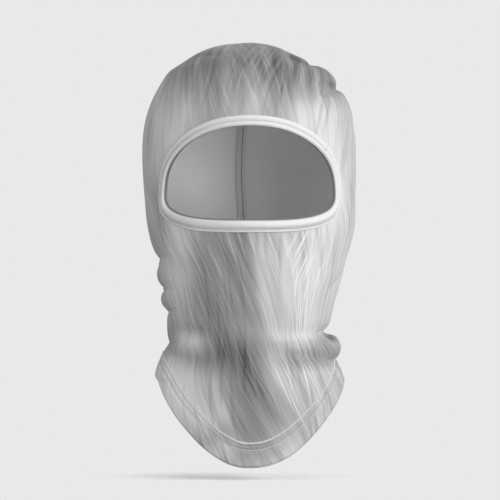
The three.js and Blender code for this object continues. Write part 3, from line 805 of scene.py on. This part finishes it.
def eye_points(count, shift=0.0):
    """Even points round the eye opening, and how much of the lower shape the tape has there."""
    wanted = (np.arange(count) + shift) / count * BINDING_LENGTH
    angle = np.interp(wanted, binding_steps, fine_angle)
    lay = np.interp(wanted, binding_steps, fine_lay)
    low = np.clip((EYE_CENTRE[1] - 2 - lay) / 16, 0, 1)
    return angle, lay, low * low * (3 - 2 * low)


def tape_shift(lay):
    """The tape creeps into the opening over the brow and out of it under the eyes, in mm."""
    return np.interp(lay, (200.0, 212.0, 240.0, 262.0, 275.0), (0.9, 0.7, 0.0, -1.8, -2.3))


eye_angle, eye_lay, eye_low = eye_points(BINDING_STEPS)
mix = eye_low[:, None, None]
upper_tape, lower_tape = (np.array(shape + TAPE_INSIDE, float) for shape in (TAPE_ABOVE, TAPE_BELOW))
sections = upper_tape * (1 - mix) + lower_tape * mix
sections[..., 0] += tape_shift(eye_lay)[:, None]
# below the brow the tape's fold to the inside shows past the rolled edge, in its shade
FOLD_START, FOLD_END = len(TAPE_ABOVE), len(TAPE_ABOVE) + 3
sections[:, FOLD_START:FOLD_END, 0] -= np.interp(eye_lay, (240.0, 258.0), (1.1, 0.0))[:, None]
# the line runs clockwise, so its left is away from the opening
rings = follow(eye_angle, eye_lay, sections, True)
tape_knit, tree, shader = new_material("white stretch tape", 0.7, 0.2)
TAPE_WHITES = (0.66, 0.663, 0.67, 1), (0.73, 0.735, 0.74, 1)
# painted shade: a dark grey band across the tape where it folds to the inside, behind the rolled edge
FOLD_PAINTED_SHADE = (0.16, 0.16, 0.165, 1)
lay_uv = cloth_uv(tree)
tint = tinted(noise(lay_uv, 220.0, 3.0).outputs[0], *TAPE_WHITES)
round_tape = length_along(rings[0]) * MM
fold_from, fold_to = float(round_tape[FOLD_START - 1]), float(round_tape[FOLD_END - 1])
from_middle = minus(parts_of(lay_uv)[1], (fold_from + fold_to) / 2)
from_middle = math_node("ABSOLUTE", from_middle)
fold_width = fold_to - fold_from
# the painted shade is strongest in the fold's middle and eases off to each side
painted_fold_shade = minus(1.0, ramp(from_middle, fold_width * 0.35, fold_width * 0.6))
tree.links.new(tinted(painted_fold_shade, tint, FOLD_PAINTED_SHADE), shader.inputs["Base Color"])
knit_bump(tree, shader, lay_uv, 0.4, 0.0006, 0.0006)
binding = loft("binding_tape", rings, True, tape_knit)
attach(binding, "root")
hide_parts("eye_binding")

# ------------------------------------------------------------------ binding stitches
# One row of overedge stitching in fine polyester thread. On the face short threads cross the
# tape's groove, close together, and behind it a looper thread zigzags along the tape.
thread, tree, shader = new_material("twisted polyester thread", 0.55, 0.3)
links = [("Vector", add_node(tree, "ShaderNodeTexCoord").outputs["Object"]), ("Scale", 900.0)]
links += [("Distortion", 2.0), ("Detail", 1.0)]
ply = add_node(tree, "ShaderNodeTexWave", links, bands_direction="DIAGONAL").outputs["Fac"]
# painted shade: the grooves between the thread's plies are coloured darker than the ridges
tint = tinted(ply, (0.62, 0.62, 0.63, 1), (0.82, 0.82, 0.83, 1))
tree.links.new(tint, shader.inputs["Base Color"])
bumped(tree, shader, ply, 0.5)


def recoloured(material, name, low, high):
    """A copy of a tinted material with two other colours."""
    copy = material.copy()
    copy.name = name
    for node in copy.node_tree.nodes:
        if node.type == "MIX":
            node.inputs["A"].default_value, node.inputs["B"].default_value = low, high
    return copy


# a grey thread, keeping the same painted shade in the grooves of its ply
grey_thread = recoloured(thread, "grey polyester thread", (0.22, 0.22, 0.225, 1), (0.34, 0.34, 0.345, 1))

stitch_tree, given, result = new_group(
    "row of stitches",
    [
        ("Places", "Geometry", None),
        ("Stitch length", "Float", 0.002),
        ("Stitch height", "Float", 0.0004),
        ("Thread thickness", "Float", 0.0004),
        ("Unevenness", "Float", 0.08),
        ("Seed", "Int", 4),
        ("Thread", "Material", thread),
    ],
    [("Stitches", "Geometry")],
    "GeometryNodeTree",
)
reach = times(given["Stitch length"], 0.5)
links = [
    ("Resolution", 5),
    ("Start", vector_of(times(reach, -1.0))),
    ("Middle", vector_of(z=times(given["Stitch height"], 2.0))),
    ("End", vector_of(reach)),
]
arc = add_node(stitch_tree, "GeometryNodeCurveQuadraticBezier", links).outputs[0]
radius = times(given["Thread thickness"], 0.5)
links = [("Resolution", 6), ("Radius", radius)]
profile = add_node(stitch_tree, "GeometryNodeCurvePrimitiveCircle", links).outputs[0]
links = [("Curve", arc), ("Profile Curve", profile), ("Fill Caps", True)]
strand = add_node(stitch_tree, "GeometryNodeCurveToMesh", links).outputs[0]
along, away = (
    add_node(stitch_tree, "GeometryNodeInputNamedAttribute", [("Name", name)], data_type="FLOAT_VECTOR")
    for name in ("along", "away")
)
ALIGN = "FunctionNodeAlignRotationToVector"
turn = add_node(stitch_tree, ALIGN, [("Vector", along.outputs[0])], axis="X").outputs[0]
links = [("Rotation", turn), ("Vector", away.outputs[0])]
turn = add_node(stitch_tree, ALIGN, links, axis="Z", pivot_axis="X").outputs[0]
links = [
    (2, minus(1.0, given["Unevenness"])),
    (3, plus(1.0, given["Unevenness"])),
    ("Seed", given["Seed"]),
]
odd = add_node(stitch_tree, "FunctionNodeRandomValue", links, data_type="FLOAT").outputs[1]
links = [("Points", given["Places"]), ("Instance", strand), ("Rotation", turn), ("Scale", odd)]
placed = add_node(stitch_tree, "GeometryNodeInstanceOnPoints", links).outputs[0]
real = add_node(stitch_tree, "GeometryNodeRealizeInstances", [(0, placed)]).outputs[0]
smooth = add_node(stitch_tree, "GeometryNodeSetShadeSmooth", [(0, real)]).outputs[0]
links = [(0, smooth), ("Material", given["Thread"])]
painted = add_node(stitch_tree, "GeometryNodeSetMaterial", links).outputs[0]
stitch_tree.links.new(painted, result[0])


def stitch_row(name, cad_node, places_mm, along, away, sizes, made_of=thread):
    """Stitches at places, each laid along one direction and standing away from the cloth.

    Sizes are the length, the height and the thread's thickness of a stitch, in metres.
    """
    places = new_piece(name, places_mm, [], ())
    mesh = places.data
    for key, vectors in (("along", along), ("away", away)):
        values = mesh.attributes.new(key, "FLOAT_VECTOR", "POINT")
        values.data.foreach_set("vector", np.asarray(vectors, np.float32).ravel())
    grower = places.modifiers.new("stitches", "NODES")
    grower.node_group = stitch_tree
    inputs = [item for item in stitch_tree.interface.items_tree if item.in_out == "INPUT"]
    sockets = {item.name: item.identifier for item in inputs}
    for key, size in zip(("Stitch length", "Stitch height", "Thread thickness"), sizes):
        grower[sockets[key]] = size
    grower[sockets["Thread"]] = made_of
    settle(places)
    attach(places, "root")
    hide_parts(cad_node)


def line_frames(angle, lay, across, out, closed=True):
    """Places beside a line on the cloth, with the directions along it, across it and away."""
    centre = follow(angle, lay, np.stack([across, out], 1)[:, None, :], closed)[:, 0]
    a, l = beside(angle, lay, across, closed)
    away = cloth_normal(a, l)
    if closed:
        along = unit(np.roll(centre, -1, 0) - np.roll(centre, 1, 0))
    else:
        along = unit(np.gradient(centre, axis=0))
    return centre, along, unit(np.cross(away, along)), away


def zigzag(along, across, lean):
    """Directions that lean to one side and the other of a line by turns."""
    side = np.where(np.arange(len(along)) % 2 == 0, 1.0, -1.0)[:, None]
    return unit(along + lean * side * across)


STITCH_PITCH = 1.75
GROOVE_ABOVE, GROOVE_BELOW, GROOVE_FLOOR = 3.6, 6.4, 0.62  # mm from the tape's inner edge, mm out
LOOPER_ACROSS, LOOPER_OUT = 3.8, -2.35
count = int(BINDING_LENGTH / STITCH_PITCH)
angle, lay, low = eye_points(count, 0.5)
groove = GROOVE_ABOVE * (1 - low) + GROOVE_BELOW * low + tape_shift(lay)
places, along, across, away = line_frames(angle, lay, groove, np.full(count, GROOVE_FLOOR))
directions = unit(across + 0.25 * along)
stitch_row("binding_needle", "binding_needle_thread", places, directions, away, (0.0022, 0.00034, 0.0008))
back = np.full(count, LOOPER_ACROSS), np.full(count, LOOPER_OUT)
places, along, across, away = line_frames(angle, lay, *back)
directions = zigzag(along, across, 1.2)
stitch_row("binding_looper", "binding_looper_thread", places, directions, -away, (0.0026, 0.00025, 0.00042))

# ------------------------------------------------------------------ binding bartack
# A dense block of polyester thread, sewn across the tape by the right ear, where it locks the
# tape's two ends together.
TACK_STITCHES, TACK_HALF_LENGTH = 15, 1.6
TACK_ACROSS, TACK_OUT = 4.0, 1.35
tack_places = np.linspace(-TACK_HALF_LENGTH, TACK_HALF_LENGTH, TACK_STITCHES) / BINDING_LENGTH % 1.0
angle = np.interp(tack_places * BINDING_LENGTH, binding_steps, fine_angle)
lay = np.interp(tack_places * BINDING_LENGTH, binding_steps, fine_lay)
middle = np.full(TACK_STITCHES, TACK_ACROSS), np.full(TACK_STITCHES, TACK_OUT)
places, along, across, away = line_frames(angle, lay, *middle, False)
stitch_row("binding_tack", "binding_bartack", places, across, away, (0.0052, 0.00022, 0.0003))

# ------------------------------------------------------------------ hem stitches
# A twin-needle cover stitch: an upper row of open loops, a lower row of short dashes, and a
# looper thread that zigzags between them inside the turned-up hem.
HEM_PITCH = 2.2
LOWER_ROW, UPPER_ROW, HEM_LOOPER = (12.8, 0.05), (18.4, 0.22), (15.2, -2.2)  # mm up and mm out
count = int(0.5 + length_along(head_form(hem_angle, hem_line))[-1] / HEM_PITCH)
angle, lay = even_line(fine, hem_lay(fine), count)
places, along, across, away = line_frames(angle, lay, *np.tile(LOWER_ROW, (count, 1)).T)
stitch_row("hem_needle_lower", "hem_needle_thread_lower", places, along, away, (0.0012, 0.00018, 0.0005))
places, along, across, away = line_frames(angle, lay, *np.tile(UPPER_ROW, (count, 1)).T)
loops = np.vstack([places + along * 0.5, places - along * 0.5])
lean = np.vstack([unit(along - 1.1 * across), unit(along + 1.1 * across)])
away = np.vstack([away, away])
stitch_row("hem_needle_upper", "hem_needle_thread_upper", loops, lean, away, (0.0018, 0.0004, 0.00065))
places, along, across, away = line_frames(angle, lay, *np.tile(HEM_LOOPER, (count, 1)).T)
directions = zigzag(along, across, 1.6)
stitch_row("hem_looper", "hem_looper_thread", places, directions, -away, (0.0032, 0.00025, 0.00042))

# ------------------------------------------------------------------ back seam allowances
# The two raw edges of the crown and back seam, in the hood's own knit. They lie one on the
# other, pressed to the right-ear side inside the hood, and the overlock stitch joins them.
SEAM_FRONT = 43.0  # mm in front of the crown where the dart over the head begins
SEAM_FOOT = 22.5
SEAM_FRONT_STEPS, SEAM_BACK_STEPS = 30, 200
# the seam bows to one side of the middle behind, most at eye level, in radians
SEAM_BOW, SEAM_BOW_MORE, SEAM_BOW_LAY, SEAM_BOW_SPREAD = 0.018, 0.024, 238, 30


def seam_line():
    """From the dart's point over the crown and down the middle of the back to the hem."""
    front_lays = CROWN_TOP - np.linspace(SEAM_FRONT, 1.0, SEAM_FRONT_STEPS)
    back_lays = np.linspace(CROWN_TOP - 1.0, SEAM_FOOT, SEAM_BACK_STEPS)
    angle = np.concatenate([np.zeros(SEAM_FRONT_STEPS), np.full(SEAM_BACK_STEPS, math.pi)])
    lay = np.concatenate([front_lays, back_lays])
    bow = SEAM_BOW + SEAM_BOW_MORE * np.exp(-(((lay - SEAM_BOW_LAY) / SEAM_BOW_SPREAD) ** 2))
    return angle + bow * (angle > 1) * np.clip((CROWN_TOP - lay) / 40, 0, 1), lay


def seam_rings(count, section):
    """Rings of a section along the seam: across is to the right ear, out is off the outer face."""
    angle, lay = seam_line()
    on_seam, normal = cloth_point(angle, lay), cloth_normal(angle, lay)
    length = length_along(on_seam)
    wanted = np.linspace(0, length[-1], count)
    centre = np.stack([np.interp(wanted, length, on_seam[:, i]) for i in range(3)], 1)
    out = np.stack([np.interp(wanted, length, normal[:, i]) for i in range(3)], 1)
    out = unit(out * np.array([0.0, 1.0, 1.0]))
    along = unit(np.gradient(centre, axis=0))
    across = unit(np.cross(out, along))
    across = across * np.where(across[:, :1] > 0, -1.0, 1.0)
    section = np.asarray(section, float)
    # beside the seam the strip follows the cloth's fall
    level = unit(normal * np.array([0.0, 1.0, 1.0]))
    radius = np.linalg.norm(surface_slopes(head_form, angle, lay)[0], axis=1)
    behind = (angle > 1) & (lay < CROWN_TOP - 20)
    fall = np.zeros((count, len(section), 1))
    for k, distance in enumerate(section[:, 0]):
        beside_it = cloth_point(angle + distance / np.maximum(radius, 20.0), lay)
        drop = np.where(behind, ((beside_it - on_seam) * level).sum(1), -(distance**2) / 150.0)
        fall[:, k, 0] = np.interp(wanted, length, drop) - 0.12 * (distance > 0.5)
    outward = section[None, :, 1:] + fall
    rings = centre[:, None] + across[:, None] * section[None, :, :1] + out[:, None] * outward
    return rings, along, across, out


# across from the seam, and out from the cloth's inner face
ALLOWANCE_UNDER = ((0.2, -0.1), (3.4, -0.1), (6.6, -0.1), (6.8, -0.5), (6.6, -0.9), (3.4, -0.9), (0.2, -0.9))
ALLOWANCE_OVER = (
    *((-0.4, -0.1), (-0.1, -0.95), (3.4, -1.0), (6.6, -1.0), (6.9, -1.4)),
    *((6.6, -1.8), (3.4, -1.85), (0.4, -1.8), (-0.5, -1.3)),
)


def from_inside(section):
    """A section with its outs taken from the cloth's inner face."""
    return tuple((across, out - CLOTH_THICKNESS) for across, out in section)


# the allowances are the inside's knit painted darker: painted shade on the folded strip
shaded_knit_edge = recoloured(plain_knit, "knit edge with painted shade", (0.68, 0.68, 0.685, 1), (0.76, 0.76, 0.765, 1))
for name, node, section in (
    ("under_allowance", "seam_allowance_left", ALLOWANCE_UNDER),
    ("over_allowance", "seam_allowance_right", ALLOWANCE_OVER),
):
    strip = loft(name, seam_rings(150, from_inside(section))[0], False, shaded_knit_edge)
    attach(strip, "root")
    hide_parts(node)

# ------------------------------------------------------------------ overlock threads
# Polyester threads that sew the two allowances together: a grey needle thread along them, and
# a looper thread whose loops lie over their face and wrap their raw edges.
OVERLOCK_STITCHES, OVERLOCK_WRAPS = 190, 260
NEEDLE_LINE = ((2.4, -1.95),)
WRAP_LINES = ((5.2, -1.95), (6.9, -0.95))
rings, along, across, out = seam_rings(OVERLOCK_STITCHES, from_inside(NEEDLE_LINE))
sizes = (0.0016, 0.0003, 0.0008)
stitch_row("overlock_needle", "overlock_needle_thread", rings[:, 0], along, -out, sizes, grey_thread)
rings, along, across, out = seam_rings(OVERLOCK_WRAPS, from_inside(WRAP_LINES))
wraps, away = np.vstack([rings[:, 0], rings[:, 1]]), np.vstack([-out, across])
directions = np.vstack([unit(across + 0.45 * along), unit(out + 0.1 * along)])
stitch_row("overlock_looper", "overlock_looper_thread", wraps, directions, away, (0.0034, 0.0002, 0.0004))

# ------------------------------------------------------------------ neck label
# A blank satin ribbon, woven in polyester and folded in half. Its ends are caught in the back
# seam inside the nape, and it hangs beside the seam.
LABEL_FOOT, LABEL_LENGTH, LABEL_WIDTH = 118.0, 30.0, 20.0
LABEL_ROWS, LABEL_COLUMNS = 14, 16
LABEL_THICKNESS = 0.45
LABEL_HANG, LABEL_BELLY, LABEL_WAVE = 3.0, 1.1, 0.25  # mm off the cloth
NAPE_RADIUS = 76.0
satin, tree, shader = new_material("blank satin ribbon", 0.4, 0.1)
links = [("Vector", cloth_uv(tree)), ("Scale", 700.0)]
weft = add_node(tree, "ShaderNodeTexWave", links, bands_direction="Y").outputs["Fac"]
# painted shade: the hollows between the weave's ribs are coloured darker than the ribs
tint = tinted(weft, (0.80, 0.80, 0.78, 1), (0.88, 0.88, 0.86, 1))
tree.links.new(tint, shader.inputs["Base Color"])
bumped(tree, shader, weft, 0.3)
label_rings = []
for label_lay in np.linspace(LABEL_FOOT, LABEL_FOOT + LABEL_WIDTH, LABEL_ROWS):
    angle = math.pi + np.linspace(1.0, LABEL_LENGTH, LABEL_COLUMNS) / NAPE_RADIUS
    angle = np.where(angle > math.pi, angle - 2 * math.pi, angle)
    lays = np.full(LABEL_COLUMNS, label_lay)
    surface, normal = cloth_point(angle, lays), cloth_normal(angle, lays)
    belly = LABEL_BELLY * np.sin(np.linspace(0, math.pi, LABEL_COLUMNS))
    wave = LABEL_WAVE * np.sin(label_lay / 5 + np.linspace(0, 4, LABEL_COLUMNS))
    hang = (LABEL_HANG + belly + wave)[:, None]
    far = surface - normal * (hang + LABEL_THICKNESS)
    label_rings.append(np.vstack([surface - normal * hang, far[::-1]]))
label = loft("neck_label", np.array(label_rings), False, satin)
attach(label, "root")
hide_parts("care_label")

# ------------------------------------------------------------------ studio
# A pale floor that fades into an even pale surround, a key light high on the wearer's left,
# two fill lights from the front, one on the wearer's right, and weak light from everywhere.
FLOOR_HEIGHT = -0.3455
FLOOR_RINGS, FLOOR_SPOKES, FLOOR_STEP = 8, 64, 40
floor_points, floor_faces = [(0, 0, 0)], []
for ring in range(1, FLOOR_RINGS + 1):
    for k in range(FLOOR_SPOKES):
        turn = 2 * math.pi * k / FLOOR_SPOKES
        floor_points.append((FLOOR_STEP * ring * math.cos(turn), FLOOR_STEP * ring * math.sin(turn), 0))
for k in range(FLOOR_SPOKES):
    a, b = 1 + k, 1 + (k + 1) % FLOOR_SPOKES
    floor_faces.append((0, a, b))
    for inner in range(0, FLOOR_SPOKES * (FLOOR_RINGS - 1), FLOOR_SPOKES):
        outer_ring = inner + FLOOR_SPOKES
        floor_faces.append((inner + a, outer_ring + a, outer_ring + b, inner + b))
pale, tree, shader = new_material("pale floor", 0.9, 0.0)
shader.inputs["Specular IOR Level"].default_value = 0.1
shader.inputs["Emission Color"].default_value = (1, 1, 1, 1)
shader.inputs["Emission Strength"].default_value = 0.22
where = add_node(tree, "ShaderNodeTexCoord").outputs["Object"]
fade = minus(1.0, ramp(distance_across(where), 0.03, 0.13))
tree.links.new(fade, shader.inputs["Alpha"])
grain = add_node(tree, "ShaderNodeTexNoise", [("Vector", where), ("Scale", 30.0)]).outputs[0]
tint = tinted(grain, (0.80, 0.80, 0.80, 1), (0.82, 0.82, 0.82, 1))
tree.links.new(tint, shader.inputs["Base Color"])
floor_base = (0, 0, CROWN_ABOVE_TIP + FLOOR_HEIGHT / MM)
floor = new_piece("floor", np.array(floor_points) + floor_base, floor_faces, (pale,))

world = bpy.data.worlds.new("pale surround")
bpy.context.scene.world = world
world.use_nodes = True
tree = world.node_tree
backdrop = tree.nodes["Background"]
backdrop.inputs["Color"].default_value = (0.815, 0.815, 0.815, 1)
backdrop.inputs["Strength"].default_value = 1.0
facing = add_node(tree, "ShaderNodeTexCoord").outputs["Generated"]
high = ramp(parts_of(facing)[2], -0.9, 0.9)
glow = tinted(high, (0.16, 0.16, 0.16, 1), (0.50, 0.50, 0.505, 1))
ambient = add_node(tree, "ShaderNodeBackground", [("Color", glow), ("Strength", 1.0)])
seen = add_node(tree, "ShaderNodeLightPath").outputs["Is Camera Ray"]
links = [(0, seen), (1, ambient.outputs[0]), (2, backdrop.outputs[0])]
either = add_node(tree, "ShaderNodeMixShader", links)
tree.links.new(either.outputs[0], tree.nodes["World Output"].inputs[0])

LIT_POINT = Vector((0, 0, -0.17))
for name, place, size, power in (
    ("key light", (1.62, -0.70, 0.80), 0.7, 23.0),
    ("fill light", (0.95, -2.05, -0.08), 0.8, 17.0),
    ("low light", (0.60, -1.80, -0.80), 0.8, 6.0),
    ("side light", (-1.75, -1.35, 0.25), 1.2, 8.5),
):
    lamp = bpy.data.lights.new(name, "AREA")
    lamp.shape, lamp.size, lamp.energy = "SQUARE", size, power
    holder = bpy.data.objects.new(name, lamp)
    bpy.context.scene.collection.objects.link(holder)
    holder.location = place
    holder.rotation_euler = (LIT_POINT - Vector(place)).to_track_quat("-Z", "Y").to_euler()

CAMERA_FROM = (0.0008, -5.0, -0.1644)
camera_data = bpy.data.cameras.new("camera")
camera_data.lens, camera_data.sensor_width = 450.0, 36.0
camera_data.clip_end = 50.0
camera = bpy.data.objects.new("camera", camera_data)
bpy.context.scene.collection.objects.link(camera)
camera.location = CAMERA_FROM
camera.rotation_euler = (math.pi / 2, 0, 0)
bpy.context.scene.camera = camera
bpy.context.scene.view_settings.view_transform = "Standard"
